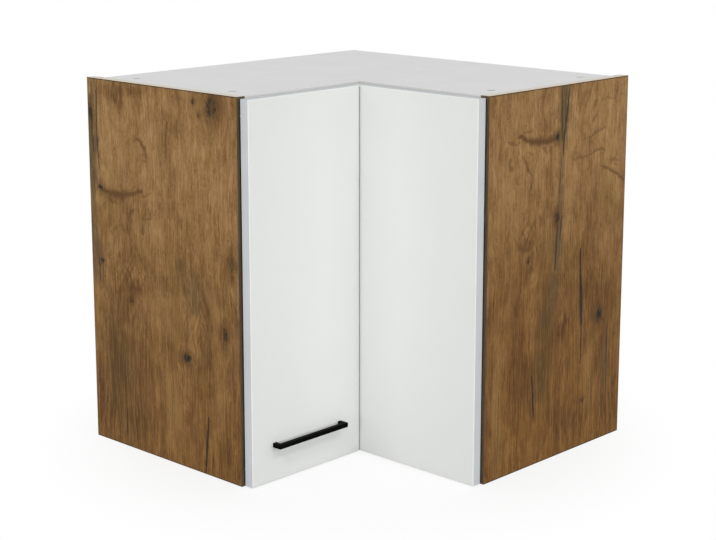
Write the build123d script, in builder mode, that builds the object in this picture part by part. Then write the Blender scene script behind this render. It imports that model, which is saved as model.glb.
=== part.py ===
from build123d import *
import os

# A corner wall cabinet with a two-leaf folding door, in millimetres.
# The corner of the room is the z axis: the left wall is the plane x = 0, the right wall the
# plane y = 0, and the cabinet stands in x > 0, y < 0 with its underside at z = 0.
# The left leg is the mirror image of the right one about the diagonal of the corner.

# ---- carcass ------------------------------------------------------------------------------
WIDTH = 600.0  # corner to the outer face of an end panel, along each wall
HEIGHT = 585.0
DEPTH = 345.0  # wall to the front edge of the carcass
BOARD = 16.0  # end panels, top, bottom and shelf
BAND = 1.0  # front edge banding
BACK = 3.0  # back panels
RAIL_RECESS = 24.0  # wall to the rear edges of top, bottom and shelf: room for the wall rail
GROOVE_DEPTH = 8.0
SLIP = 0.1  # play beside a board in its groove
FIT = 0.05  # radial play of pins, dowels and screws
END_PLAY = 0.5  # hole depth beyond what goes into it
POST = 32.0  # section of the batten in the rear corner

# ---- doors ----------------------------------------------------------------------------------
LEAF = 16.0
LEAF_ROUND = 1.5
DOOR_GAP = 2.5  # carcass front edge to the back faces of the leaves
END_REVEAL = 5.0  # end panel's outer face to the outer edge of a leaf
CORNER_GAP = 2.0  # between the two leaves
TOP_REVEAL = 3.0
BOTTOM_REVEAL = 1.0
HINGE_SETBACK = 90.0  # leaf's top and bottom edges to the hinges

# ---- shelf ------------------------------------------------------------------------------------
SHELF_SETBACK = 20.0
SHELF_PLAY = 1.5  # at its ends
SHELF_BACK_PLAY = 2.0
PIN_R = 2.5
PIN_LENGTH = 9.0
PIN_HOLE_DEPTH = 12.0
PIN_PITCH = 32.0
PIN_ROWS = 3
PIN_SETBACK = 37.0  # first column of pin holes, from the front edge
TAB_SIZE = 10.0
TAB_THICK = 2.0

# ---- panel connectors -------------------------------------------------------------------------
CAM_R = 7.5
CAM_DEPTH = 12.5
CAM_FLOOR_PLAY = 0.2
CAM_SETBACK = 24.0  # cam centre from the board's end
CAM_REAR = 72.0  # rear cam from the wall
CAM_FRONT = 53.0  # front cam from the carcass front edge
CAM_CROSS = 9.0  # length of the two driver slots
CAM_SLOT = 1.8
BOLT_BORE_R = 3.5
BOLT_R = 2.5
BOLT_THREAD = 11.0
CAM_THROAT = 3.5  # half width of the slot in a cam that takes the bolt
DOWEL_R = 4.0
DOWEL_LENGTH = 30.0
DOWEL_IN_PANEL = 10.0

# ---- handle -------------------------------------------------------------------------------------
HANDLE_CENTRES = 139.0
HANDLE_SECTION = 7.0
HANDLE_STANDOFF = 16.0
HANDLE_UP = 57.0  # leaf's bottom edge to the middle of the bar
HANDLE_SCREW_R = 2.0
HANDLE_ROUND = 1.0
BUMPER_R = 4.0
BUMPER_UP = 25.0  # leaf's bottom and top edges to the bumpers
BUMPER_PLAY = 0.3

# ---- cup hinges -----------------------------------------------------------------------------------
CUP_R = 17.5
CUP_CAVITY_R = 16.4
CUP_BORE_DEPTH = 12.0
CUP_DEPTH = 11.8
CUP_FLOOR = 1.0
CUP_OFFSET = 11.5  # end panel's inner face to the centre of a hinge cup
FOLD_CUP_INSET = 22.5  # left leaf's inner end to the centre of a fold cup
FLANGE = 1.0
FLANGE_R = 19.5
CUP_WING = 15.0
CUP_SCREW_REACH = 24.0
CUP_SCREW_OFFSET = 6.0
PIVOT_R = 1.5
EYE_R = 3.1
NOSE_HALF = 2.5  # half width of the carcass arm at its pivot
NOSE_RUN = 7.0  # carcass front edge to the bend in the arm's nose
LINK_PLAY = 0.4  # round an eye inside a boss or a cheek
INNER_LINK_SPAN = (3.0, 4.5)  # each cheek, from the middle plane of the hinge
OUTER_LINK_SPAN = (5.0, 6.5)
BOSS_START = 6.9
BOSS_END = 12.0
# pivots: (from the cup's centre towards the leaf's edge, into the leaf's thickness)
ARM_PIVOT = (10.0, 6.5)
LINK_PIVOT = (-10.0, 2.5)
CUP_PIVOT = (6.0, 2.5)
FOLD_PIVOT = (12.5, 4.0)
FOLD_HALF = 3.0  # half width of the fold arm
FOLD_PIN_HALF = 9.0  # half length of the fold pin
FOLD_BAR_R = 2.5  # half thickness of the fold arm
FOLD_CLEAR = 6.0  # middle of the fold arm behind the leaf's back face
FOLD_PLATE_INSET = 27.0  # right leaf's inner end to the front of the fold arm's body

ARM_HALF = 7.5
ARM_LENGTH = 46.0
ARM_TOP = 11.0
ARM_UNDER = 3.4
ARM_WALL = 1.5
ARM_FRONT = 10.0  # carcass front edge back to the front of the arm's body
PLATE_BASE = 2.9
PLATE_HALF = 8.0
RIDGE_TOP = 8.0
RIDGE_HALF = 5.6
WING_REACH = 24.0
WING_LENGTH = 18.0
WING_BACK = 27.0  # plate screws behind the front of the arm's body
PLATE_SCREW_REACH = 16.0

# ---- wall hangers -----------------------------------------------------------------------------
HANGER_LENGTH = 60.0
HANGER_HIGH = 44.0
HANGER_WIDE = 18.0
HANGER_WALL = 1.6
HANGER_DROP = 4.0  # below the top board
HANGER_PEG_R = 5.0
HANGER_PEG = 11.0
HANGER_PEGS = (16.0, 48.0)  # pegs from the rear end of a hanger
HOOK_THICK = 3.0
HOOK_HALF = 7.0
HOOK_LIP = 9.0
HOOK_FROM_WALL = 14.0
HOOK_INNER = 44.0  # hook's inner end from the back panel
HOOK_FLANGE = 2.5
HANGER_SCREW_R = 2.5
HANGER_SCREW_OFF = 11.0
CUTOUT_PLAY = 2.0

# ---- screws: (shank radius, length, head radius, head height) ----------------------------------
CUP_SCREW = (1.75, 12.0, 3.4, 1.0)
PLATE_SCREW = (2.0, 13.0, 3.6, 2.0)
HANDLE_SCREW = (HANDLE_SCREW_R, 28.0, 4.0, 2.2)
HANGER_SCREW = (HANGER_SCREW_R, 30.0, 4.0, 2.5)

# ---- places worked out from the sizes above ------------------------------------------------
INNER = WIDTH - BOARD
LEAF_BACK = DEPTH + DOOR_GAP
LEAF_FRONT = LEAF_BACK + LEAF
LEAF_EDGE = WIDTH - END_REVEAL
RIGHT_CUP = INNER - CUP_OFFSET
LEAF_TOP = HEIGHT - TOP_REVEAL
HINGE_LEVELS = {
    "lower": BOTTOM_REVEAL + HINGE_SETBACK,
    "upper": LEAF_TOP - HINGE_SETBACK,
}
SHELF_LEVEL = (HEIGHT - BOARD) / 2
SHELF_FRONT = DEPTH - SHELF_SETBACK
CAM_ROWS = (CAM_REAR, DEPTH - CAM_FRONT)
DOWEL_ROW = (CAM_REAR + DEPTH - CAM_FRONT) / 2
PIN_COLUMNS = (RAIL_RECESS + PIN_SETBACK, DEPTH - PIN_SETBACK)
PEG_LEVEL = SHELF_LEVEL - TAB_SIZE / 2 - TAB_THICK / 2
PIN_LEVELS = [PEG_LEVEL + PIN_PITCH * (row - PIN_ROWS // 2) for row in range(PIN_ROWS)]
HANGER_MID = HEIGHT - BOARD - HANGER_DROP - HANGER_HIGH / 2
DIAGONAL = Plane(origin=(0, 0, 0), z_dir=(1, 1, 0))
LEFT_END = Plane.XZ.offset(INNER)  # on the left panel's inner face: x, z, and into the panel
RIGHT_END = Plane.YZ.offset(INNER)  # on the right panel's inner face: y, z, and into the panel
LEFT_LEAF_BACK = Plane(origin=(LEAF_BACK, 0, 0), x_dir=(0, 1, 0), z_dir=(1, 0, 0))
RIGHT_LEAF_BACK = Plane(origin=(0, -LEAF_BACK, 0), x_dir=(1, 0, 0), z_dir=(0, -1, 0))

os.makedirs("parts", exist_ok=True)


def finish(piece, name):
    """Label a finished piece and write it."""
    piece.part.label = name
    export_step(piece.part, f"parts/{name}.step")


def pan_screw(shank, length, head, height):
    """A screw along Z with its head standing on z = 0 and its shank below."""
    with BuildPart() as screw:
        with BuildSketch(Plane.XZ):
            with BuildLine():
                Polyline(
                    (0, height),
                    (head, height),
                    (head, 0),
                    (shank, 0),
                    (shank, -length),
                    (0, -length),
                    close=True,
                )
            make_face()
        revolve(axis=Axis.Z)
    return screw.part


def flush_screw(shank, length, head, height):
    """A countersunk screw along Z with the top of its head at z = 0."""
    with BuildPart() as screw:
        with BuildSketch(Plane.XZ):
            with BuildLine():
                Polyline(
                    (0, 0),
                    (head, 0),
                    (shank, -height),
                    (shank, -length),
                    (0, -length),
                    close=True,
                )
            make_face()
        revolve(axis=Axis.Z)
    return screw.part


def flush_hole(shank, length, head, height):
    """The countersunk hole that a flush screw goes into, with its play."""
    return flush_screw(shank + FIT, length + END_PLAY, head + FIT, height)


def drill(plane, points, radius, depth):
    """Round holes in the part under construction, along the plane's normal."""
    with BuildSketch(plane) as holes:
        with Locations(*points):
            Circle(radius)
    extrude(holes.sketch, amount=depth, mode=Mode.SUBTRACT)


def l_outline(rear, front, end):
    """The L shape of a top, bottom or shelf, seen from above."""
    Polyline(
        (rear, -rear),
        (end, -rear),
        (end, -front),
        (front, -front),
        (front, -end),
        (rear, -end),
        close=True,
    )


def mirrored(piece, name):
    """The right-hand twin of a piece of the left leg."""
    with BuildPart() as twin:
        mirror(piece.part, about=DIAGONAL)
    finish(twin, name)
    return twin


# ---- end panels: a groove for the back, connector holes and rows of shelf-pin holes ------------
BOARD_LEVELS = (BOARD / 2, HEIGHT - BOARD / 2)

with BuildPart() as left_side_panel:
    with BuildSketch():
        with Locations((0, -WIDTH)):
            Rectangle(DEPTH - BAND, BOARD, align=(Align.MIN, Align.MIN))
    extrude(amount=HEIGHT)
    with BuildSketch():
        with Locations((RAIL_RECESS + SLIP, -INNER)):
            Rectangle(BACK + 2 * SLIP, GROOVE_DEPTH, align=(Align.MAX, Align.MAX))
    extrude(amount=HEIGHT, mode=Mode.SUBTRACT)
    bolt_points = [(row, level) for row in CAM_ROWS for level in BOARD_LEVELS]
    dowel_points = [(DOWEL_ROW, level) for level in BOARD_LEVELS]
    pin_points = [(column, level) for column in PIN_COLUMNS for level in PIN_LEVELS]
    drill(LEFT_END, bolt_points, BOLT_R + FIT, BOLT_THREAD + END_PLAY)
    drill(LEFT_END, dowel_points, DOWEL_R, DOWEL_IN_PANEL + END_PLAY)
    drill(LEFT_END, pin_points, PIN_R + FIT, PIN_HOLE_DEPTH)
    peg_points = [(RAIL_RECESS + setback, HANGER_MID) for setback in HANGER_PEGS]
    drill(LEFT_END, peg_points, HANGER_PEG_R, HANGER_PEG + END_PLAY)
finish(left_side_panel, "left_side_panel")

with BuildPart() as right_side_panel:
    mirror(left_side_panel.part, about=DIAGONAL)
    plate_screw_y = -(DEPTH - ARM_FRONT - WING_BACK)
    plate_screw_points = [
        (plate_screw_y, level + side * PLATE_SCREW_REACH)
        for level in HINGE_LEVELS.values()
        for side in (-1, 1)
    ]
    drill(RIGHT_END, plate_screw_points, PLATE_SCREW[0] + FIT, PLATE_SCREW[1])
finish(right_side_panel, "right_side_panel")

with BuildPart() as left_front_band:
    with BuildSketch():
        with Locations((DEPTH, -WIDTH)):
            Rectangle(BAND, BOARD, align=(Align.MAX, Align.MIN))
    extrude(amount=HEIGHT)
finish(left_front_band, "left_front_band")
mirrored(left_front_band, "right_front_band")


# ---- top and bottom boards --------------------------------------------------------------------
def end_holes(level, rows, radius, depth):
    """The same row of holes in the two ends of an L-shaped board."""
    drill(LEFT_END, [(row, level) for row in rows], radius, -depth)
    drill(RIGHT_END, [(-row, level) for row in rows], radius, -depth)


CAM_SPOTS = [(row, -(INNER - CAM_SETBACK)) for row in CAM_ROWS]
CAM_SPOTS += [(INNER - CAM_SETBACK, -row) for row in CAM_ROWS]
POST_MIDDLE = RAIL_RECESS + POST / 2


def joined_board(underside, outer_face, outwards):
    """A top or bottom board, with cam bores in the outer face and holes in its ends."""
    middle = underside + BOARD / 2
    inner_face = outer_face - outwards * BOARD
    with BuildPart() as board:
        with BuildSketch(Plane.XY.offset(underside)):
            with BuildLine():
                l_outline(RAIL_RECESS, DEPTH - BAND, INNER)
            make_face()
        extrude(amount=BOARD)
        drill(Plane.XY.offset(outer_face), CAM_SPOTS, CAM_R, -outwards * CAM_DEPTH)
        end_holes(middle, CAM_ROWS, BOLT_BORE_R, CAM_SETBACK)
        end_holes(middle, [DOWEL_ROW], DOWEL_R, DOWEL_LENGTH - DOWEL_IN_PANEL + END_PLAY)
        post_hole = [(POST_MIDDLE, -POST_MIDDLE)]
        post_depth = outwards * (DOWEL_IN_PANEL + END_PLAY)
        drill(Plane.XY.offset(inner_face), post_hole, DOWEL_R, post_depth)
    return board


top_panel = joined_board(HEIGHT - BOARD, HEIGHT, 1)
finish(top_panel, "top_panel")
bottom_panel = joined_board(0.0, 0.0, -1)
finish(bottom_panel, "bottom_panel")


def l_bands(levels, front, end):
    """Edge banding on the two front edges of L-shaped boards at the given levels."""
    with BuildPart() as bands:
        for level in levels:
            with BuildSketch(Plane.XY.offset(level)):
                with Locations((front, -(front - BAND))):
                    Rectangle(BAND, end - front + BAND, align=(Align.MAX, Align.MAX))
                with Locations((front, -front)):
                    Rectangle(end - front, BAND, align=(Align.MIN, Align.MIN))
            extrude(amount=BOARD)
    return bands


board_bands = l_bands((0.0, HEIGHT - BOARD), DEPTH, INNER)
finish(board_bands, "board_bands")

# ---- cam connectors and dowels ------------------------------------------------------------------
with BuildPart() as one_cam:
    with BuildSketch():
        Circle(CAM_R - FIT)
    extrude(amount=-CAM_DEPTH + CAM_FLOOR_PLAY)
    with BuildSketch(Plane.XY.offset(-BOARD / 2 + CAM_THROAT)):
        with Locations((-CAM_THROAT, 0)):
            Rectangle(2 * CAM_R, 2 * CAM_THROAT, align=(Align.MIN, Align.CENTER))
    extrude(amount=-2 * CAM_THROAT, mode=Mode.SUBTRACT)
    with BuildSketch():
        Rectangle(CAM_CROSS, CAM_SLOT)
        Rectangle(CAM_SLOT, CAM_CROSS)
    extrude(amount=-CAM_SLOT, mode=Mode.SUBTRACT)

with BuildPart() as one_bolt:
    with BuildSketch(Plane.XY.offset(-BOLT_THREAD)):
        Circle(BOLT_R)
    extrude(amount=BOLT_THREAD + CAM_SETBACK)

with BuildPart() as one_dowel:
    with BuildSketch(Plane.XY.offset(-DOWEL_IN_PANEL)):
        Circle(DOWEL_R - FIT)
    extrude(amount=DOWEL_LENGTH)

left_cam_planes = []
right_cam_planes = []
for face, outwards in ((0.0, -1), (HEIGHT, 1)):
    for row in CAM_ROWS:
        left_cam_planes.append(
            Plane(
                origin=(row, -(INNER - CAM_SETBACK), face),
                x_dir=(0, -1, 0),
                z_dir=(0, 0, outwards),
            )
        )
        right_cam_planes.append(
            Plane(
                origin=(INNER - CAM_SETBACK, -row, face),
                x_dir=(1, 0, 0),
                z_dir=(0, 0, outwards),
            )
        )

with BuildPart() as cam_housings:
    with Locations(*left_cam_planes, *right_cam_planes):
        add(one_cam.part)
finish(cam_housings, "cam_housings")


def end_planes(rows):
    """Planes on the inner faces of the end panels, at both boards, facing into the boards."""
    planes = []
    for level in BOARD_LEVELS:
        for row in rows:
            planes.append(Plane(origin=(row, -INNER, level), z_dir=(0, 1, 0)))
            planes.append(Plane(origin=(INNER, -row, level), z_dir=(-1, 0, 0)))
    return planes


with BuildPart() as cam_bolts:
    with Locations(*end_planes(CAM_ROWS)):
        add(one_bolt.part)
finish(cam_bolts, "cam_bolts")

with BuildPart() as wood_dowels:
    with Locations(*end_planes([DOWEL_ROW])):
        add(one_dowel.part)
    with Locations(Plane(origin=(POST_MIDDLE, -POST_MIDDLE, BOARD))):
        add(one_dowel.part)
    with Locations(Plane(origin=(POST_MIDDLE, -POST_MIDDLE, HEIGHT - BOARD), z_dir=(0, 0, -1))):
        add(one_dowel.part)
finish(wood_dowels, "wood_dowels")

# ---- back: two thin panels and a batten in the rear corner ----------------------------------------
CUTOUT_HIGH = HANGER_HIGH - 2 * CUTOUT_PLAY
LEFT_BACK_FACE = Plane.YZ.offset(RAIL_RECESS - BACK)
back_end = INNER + GROOVE_DEPTH - END_PLAY

with BuildPart() as left_back_panel:
    with BuildSketch(LEFT_BACK_FACE):
        with Locations((-back_end, CUTOUT_PLAY)):
            Rectangle(
                back_end - RAIL_RECESS,
                HEIGHT - 2 * CUTOUT_PLAY,
                align=(Align.MIN, Align.MIN),
            )
        with Locations((-INNER - GROOVE_DEPTH, HANGER_MID)):
            Rectangle(
                GROOVE_DEPTH + HANGER_WIDE + CUTOUT_PLAY,
                CUTOUT_HIGH,
                align=(Align.MIN, Align.CENTER),
                mode=Mode.SUBTRACT,
            )
    extrude(amount=BACK)
finish(left_back_panel, "left_back_panel")

with BuildPart() as right_back_panel:
    mirror(left_back_panel.part, about=DIAGONAL)
    with BuildSketch(Plane.XY.offset(CUTOUT_PLAY)):
        with Locations((RAIL_RECESS, -RAIL_RECESS)):
            Rectangle(BACK, BACK, align=(Align.MAX, Align.MIN))
    extrude(amount=HEIGHT - 2 * CUTOUT_PLAY)
finish(right_back_panel, "right_back_panel")

with BuildPart() as corner_post:
    with BuildSketch(Plane.XY.offset(BOARD)):
        with Locations((RAIL_RECESS, -RAIL_RECESS)):
            Rectangle(POST, POST, align=(Align.MIN, Align.MAX))
    extrude(amount=HEIGHT - 2 * BOARD)
    room_edge = corner_post.edges().filter_by(Axis.Z).sort_by_distance((DEPTH, -DEPTH, HEIGHT / 2))[0]
    chamfer(room_edge, POST / 16)
    peg_face = RAIL_RECESS + POST
    pin_hole = -PIN_LENGTH - END_PLAY
    drill(Plane.YZ.offset(peg_face), [(-POST_MIDDLE, PEG_LEVEL)], PIN_R + FIT, pin_hole)
    drill(Plane.XZ.offset(peg_face), [(POST_MIDDLE, PEG_LEVEL)], PIN_R + FIT, pin_hole)
    dowel_hole = DOWEL_LENGTH - DOWEL_IN_PANEL + END_PLAY
    dowel_spot = [(POST_MIDDLE, -POST_MIDDLE)]
    drill(Plane.XY.offset(BOARD), dowel_spot, DOWEL_R, dowel_hole)
    drill(Plane.XY.offset(HEIGHT - BOARD), dowel_spot, DOWEL_R, -dowel_hole)
finish(corner_post, "corner_post")

# ---- shelf on six spoon pins -----------------------------------------------------------------------
SHELF_END = INNER - SHELF_PLAY
SHELF_REAR = RAIL_RECESS + SHELF_BACK_PLAY

with BuildPart() as shelf:
    with BuildSketch(Plane.XY.offset(SHELF_LEVEL)):
        with BuildLine():
            l_outline(SHELF_REAR, SHELF_FRONT - BAND, SHELF_END)
        make_face()
        with Locations((SHELF_REAR, -SHELF_REAR)):
            Rectangle(POST, POST, align=(Align.MIN, Align.MAX), mode=Mode.SUBTRACT)
    extrude(amount=BOARD)
finish(shelf, "shelf")
finish(l_bands([SHELF_LEVEL], SHELF_FRONT, SHELF_END), "shelf_bands")

with BuildPart() as one_pin:
    with BuildSketch(Plane.XY.offset(TAB_THICK)):
        Circle(PIN_R)
    extrude(amount=-TAB_THICK - PIN_LENGTH)
    with BuildSketch(Plane.XY):
        with Locations((0, SHELF_LEVEL - PEG_LEVEL)):
            Rectangle(TAB_SIZE, TAB_SIZE, align=(Align.CENTER, Align.MAX))
    extrude(amount=TAB_THICK)
    with BuildSketch(Plane.XY):
        with Locations((0, SHELF_LEVEL - PEG_LEVEL)):
            Rectangle(TAB_SIZE, TAB_THICK, align=(Align.CENTER, Align.MAX))
    extrude(amount=TAB_SIZE)

with BuildPart() as shelf_pins:
    for column in PIN_COLUMNS:
        with Locations(Plane(origin=(column, -INNER, PEG_LEVEL), x_dir=(-1, 0, 0), z_dir=(0, 1, 0))):
            add(one_pin.part)
        with Locations(Plane(origin=(INNER, -column, PEG_LEVEL), x_dir=(0, -1, 0), z_dir=(-1, 0, 0))):
            add(one_pin.part)
    with Locations(Plane(origin=(peg_face, -POST_MIDDLE, PEG_LEVEL), x_dir=(0, 1, 0), z_dir=(1, 0, 0))):
        add(one_pin.part)
    with Locations(Plane(origin=(POST_MIDDLE, -peg_face, PEG_LEVEL), x_dir=(1, 0, 0), z_dir=(0, -1, 0))):
        add(one_pin.part)
finish(shelf_pins, "shelf_pins")

# ---- wall hangers: a shell on each end panel, with a hook that two screws set --------------------
HANGER_END = RAIL_RECESS + HANGER_LENGTH
HOOK_MIDDLE = -INNER + HANGER_WIDE / 2
HOOK_END = RAIL_RECESS + HOOK_INNER
hanger_screw_levels = (HANGER_MID - HANGER_SCREW_OFF, HANGER_MID + HANGER_SCREW_OFF)

with BuildPart() as left_hanger:
    with BuildSketch(Plane.XZ.offset(INNER)):
        with Locations((RAIL_RECESS, HANGER_MID)):
            Rectangle(HANGER_LENGTH, HANGER_HIGH, align=(Align.MIN, Align.CENTER))
    extrude(amount=-HANGER_WIDE)
    with BuildSketch(Plane.XZ.offset(INNER - HANGER_WALL)):
        with Locations((RAIL_RECESS, HANGER_MID)):
            Rectangle(
                HANGER_LENGTH - HANGER_WALL,
                HANGER_HIGH - 2 * HANGER_WALL,
                align=(Align.MIN, Align.CENTER),
            )
    extrude(amount=-(HANGER_WIDE - 2 * HANGER_WALL), mode=Mode.SUBTRACT)
    with BuildSketch(Plane.XZ.offset(INNER)):
        with Locations(*peg_points):
            Circle(HANGER_PEG_R - FIT)
    extrude(amount=HANGER_PEG)
    screw_points = [(HOOK_MIDDLE, level) for level in hanger_screw_levels]
    drill(Plane.YZ.offset(HANGER_END), screw_points, HANGER_SCREW_R + FIT, -HANGER_WALL)
finish(left_hanger, "left_hanger")
mirrored(left_hanger, "right_hanger")

with BuildPart() as left_hook:
    with BuildSketch(Plane.XZ.offset(-HOOK_MIDDLE)):
        with Locations((HOOK_FROM_WALL, HANGER_MID)):
            Rectangle(HOOK_END - HOOK_FROM_WALL, 2 * HOOK_HALF, align=(Align.MIN, Align.CENTER))
        with Locations((HOOK_FROM_WALL, HANGER_MID)):
            Rectangle(HOOK_THICK, HOOK_HALF + HOOK_LIP, align=(Align.MIN, Align.MAX))
    extrude(amount=HOOK_THICK / 2, both=True)
    with BuildSketch(Plane.YZ.offset(HOOK_END)):
        with Locations((HOOK_MIDDLE, HANGER_MID - HOOK_HALF)):
            Rectangle(
                HANGER_WIDE - 4 * HANGER_WALL,
                HOOK_HALF + HANGER_SCREW_OFF + 2 * HANGER_SCREW_R,
                align=(Align.CENTER, Align.MIN),
            )
        with Locations((HOOK_MIDDLE, HANGER_MID + HANGER_SCREW_OFF)):
            Circle(HANGER_SCREW_R + 2 * FIT, mode=Mode.SUBTRACT)
    extrude(amount=-HOOK_FLANGE)
finish(left_hook, "left_hook")
mirrored(left_hook, "right_hook")

with BuildPart() as left_setting_screws:
    setting_screw = pan_screw(*HANGER_SCREW)
    for level in hanger_screw_levels:
        with Locations(Plane(origin=(HANGER_END, HOOK_MIDDLE, level), z_dir=(1, 0, 0))):
            add(setting_screw)
with BuildPart() as hanger_setting_screws:
    add(left_setting_screws.part)
    mirror(left_setting_screws.part, about=DIAGONAL)
finish(hanger_setting_screws, "hanger_setting_screws")

# ---- leaves ---------------------------------------------------------------------------------------
# Points on the back of the left leaf are (y, z), on the back of the right leaf (x, z).
LEFT_END_OF_LEAF = -(LEAF_FRONT + CORNER_GAP)
LEFT_CUP = LEFT_END_OF_LEAF - FOLD_CUP_INSET
FOLD_ORIGIN = LEAF_BACK + FOLD_PLATE_INSET
LEVELS = list(HINGE_LEVELS.values())


def cup_screw_spots(middle, towards_edge):
    """Screw points of a leaf's cup hinges, beside the cup on the side away from the edge."""
    return [
        (middle - towards_edge * CUP_SCREW_OFFSET, level + side * CUP_SCREW_REACH)
        for level in LEVELS
        for side in (-1, 1)
    ]


def plate_screw_spots(across):
    """Screw points of the hinge plates at both levels."""
    return [(across, level + side * PLATE_SCREW_REACH) for level in LEVELS for side in (-1, 1)]


leaf_height = LEAF_TOP - BOTTOM_REVEAL
cup_points = [(RIGHT_CUP, level) for level in LEVELS]
with BuildPart() as right_leaf:
    with BuildSketch(RIGHT_LEAF_BACK):
        with Locations((LEAF_BACK, BOTTOM_REVEAL)):
            Rectangle(LEAF_EDGE - LEAF_BACK, leaf_height, align=(Align.MIN, Align.MIN))
    extrude(amount=LEAF)
    fillet(right_leaf.faces().sort_by(Axis.Y)[0].edges(), LEAF_ROUND)
    drill(RIGHT_LEAF_BACK, cup_points, CUP_R, CUP_BORE_DEPTH)
    drill(RIGHT_LEAF_BACK, cup_screw_spots(RIGHT_CUP, 1), CUP_SCREW[0] + FIT, CUP_SCREW[1])
    fold_screw_x = FOLD_ORIGIN + WING_BACK
    drill(RIGHT_LEAF_BACK, plate_screw_spots(fold_screw_x), PLATE_SCREW[0] + FIT, PLATE_SCREW[1])
finish(right_leaf, "right_leaf")

handle_y = (LEFT_END_OF_LEAF - LEAF_EDGE) / 2
handle_z = BOTTOM_REVEAL + HANDLE_UP
handle_feet = [(handle_y + side * HANDLE_CENTRES / 2, handle_z) for side in (-1, 1)]
cup_points = [(LEFT_CUP, level) for level in LEVELS]
with BuildPart() as left_leaf:
    with BuildSketch(LEFT_LEAF_BACK):
        with Locations((-LEAF_EDGE, BOTTOM_REVEAL)):
            Rectangle(LEAF_EDGE + LEFT_END_OF_LEAF, leaf_height, align=(Align.MIN, Align.MIN))
    extrude(amount=LEAF)
    fillet(left_leaf.faces().sort_by(Axis.X)[-1].edges(), LEAF_ROUND)
    drill(LEFT_LEAF_BACK, cup_points, CUP_R, CUP_BORE_DEPTH)
    drill(LEFT_LEAF_BACK, cup_screw_spots(LEFT_CUP, 1), CUP_SCREW[0] + FIT, CUP_SCREW[1])
    drill(LEFT_LEAF_BACK, handle_feet, HANDLE_SCREW_R + FIT, LEAF)
finish(left_leaf, "left_leaf")

with BuildPart() as door_bumpers:
    bumper_y = -(INNER + LEAF_EDGE) / 2
    bumper_points = [(bumper_y, BOTTOM_REVEAL + BUMPER_UP), (bumper_y, LEAF_TOP - BUMPER_UP)]
    with BuildSketch(LEFT_LEAF_BACK):
        with Locations(*bumper_points):
            Circle(BUMPER_R)
    extrude(amount=-(DOOR_GAP - BUMPER_PLAY))
finish(door_bumpers, "door_bumpers")

# ---- handle: a square bar bent to a U, screwed on from behind the leaf ----------------------------
with BuildPart() as handle:
    with BuildSketch(Plane.XY.offset(handle_z - HANDLE_SECTION / 2)):
        with Locations((LEAF_FRONT, handle_y)):
            Rectangle(
                HANDLE_STANDOFF,
                HANDLE_CENTRES + HANDLE_SECTION,
                align=(Align.MIN, Align.CENTER),
            )
            Rectangle(
                HANDLE_STANDOFF - HANDLE_SECTION,
                HANDLE_CENTRES - HANDLE_SECTION,
                align=(Align.MIN, Align.CENTER),
                mode=Mode.SUBTRACT,
            )
    extrude(amount=HANDLE_SECTION)
    bends = handle.edges().filter_by(Axis.Z).group_by(Axis.X)[-1]
    fillet(bends, HANDLE_ROUND)
    tapped_depth = HANDLE_SCREW[1] - LEAF + END_PLAY
    drill(LEFT_LEAF_BACK.offset(LEAF), handle_feet, HANDLE_SCREW_R + FIT, tapped_depth)
finish(handle, "handle")

with BuildPart() as handle_screws:
    for y, z in handle_feet:
        with Locations(Plane(origin=(LEAF_BACK, y, z), z_dir=(-1, 0, 0))):
            add(pan_screw(*HANDLE_SCREW))
finish(handle_screws, "handle_screws")

# ---- cups: a drawn steel cup with a screwed flange and two bosses for the pivot -------------------
# Built about its own centre: x towards the leaf's edge, y up or down, z out of the leaf's back.


def hinge_cup(pivot_x, pivot_depth, boss_start, boss_half, boss_top):
    """A cup whose pivot lies pivot_x from its centre and pivot_depth inside the leaf's back."""
    with BuildPart() as cavity:
        with BuildSketch(Plane.XY.offset(FLANGE)):
            Circle(CUP_CAVITY_R)
        extrude(amount=-(FLANGE + CUP_DEPTH - CUP_FLOOR))
        with BuildSketch(Plane.XY.offset(boss_top)):
            with Locations((pivot_x, boss_start), (pivot_x, -boss_start - CUP_R)):
                Rectangle(2 * boss_half, CUP_R, align=(Align.CENTER, Align.MIN))
        extrude(amount=-(boss_top + CUP_DEPTH), mode=Mode.SUBTRACT)
    with BuildPart() as cup:
        with BuildSketch():
            Circle(CUP_R - FIT)
        extrude(amount=-CUP_DEPTH)
        with BuildSketch():
            Circle(FLANGE_R)
            with Locations((-CUP_SCREW_OFFSET, 0)):
                Rectangle(CUP_WING, 2 * (CUP_SCREW_REACH + CUP_WING / 3))
        extrude(amount=FLANGE)
        add(cavity.part, mode=Mode.SUBTRACT)
        with BuildSketch(Plane.XZ.offset(-BOSS_END)):
            with Locations((pivot_x, -pivot_depth)):
                Circle(PIVOT_R)
        extrude(amount=2 * BOSS_END, mode=Mode.SUBTRACT)
        for side in (-1, 1):
            with Locations(Plane(origin=(-CUP_SCREW_OFFSET, side * CUP_SCREW_REACH, FLANGE))):
                add(flush_hole(*CUP_SCREW), mode=Mode.SUBTRACT)
    return cup.part


def right_cup_plane(level):
    return Plane(origin=(RIGHT_CUP, -LEAF_BACK, level), x_dir=(1, 0, 0), z_dir=(0, 1, 0))


def left_cup_plane(level):
    return Plane(origin=(LEAF_BACK, LEFT_CUP, level), x_dir=(0, 1, 0), z_dir=(-1, 0, 0))


def right_plate_plane(level):
    """On the right panel's inner face: x towards the door, z away from the panel."""
    return Plane(origin=(INNER, -(DEPTH - ARM_FRONT), level), x_dir=(0, -1, 0), z_dir=(-1, 0, 0))


def fold_plate_plane(level):
    """On the right leaf's back: x towards the left leaf, z away from the leaf."""
    return Plane(origin=(FOLD_ORIGIN, -LEAF_BACK, level), x_dir=(-1, 0, 0), z_dir=(0, 1, 0))


def placed(part, plane):
    """A copy of a part made about the origin, put at a plane."""
    with BuildPart() as copy:
        with Locations(plane):
            add(part)
    return copy


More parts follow.
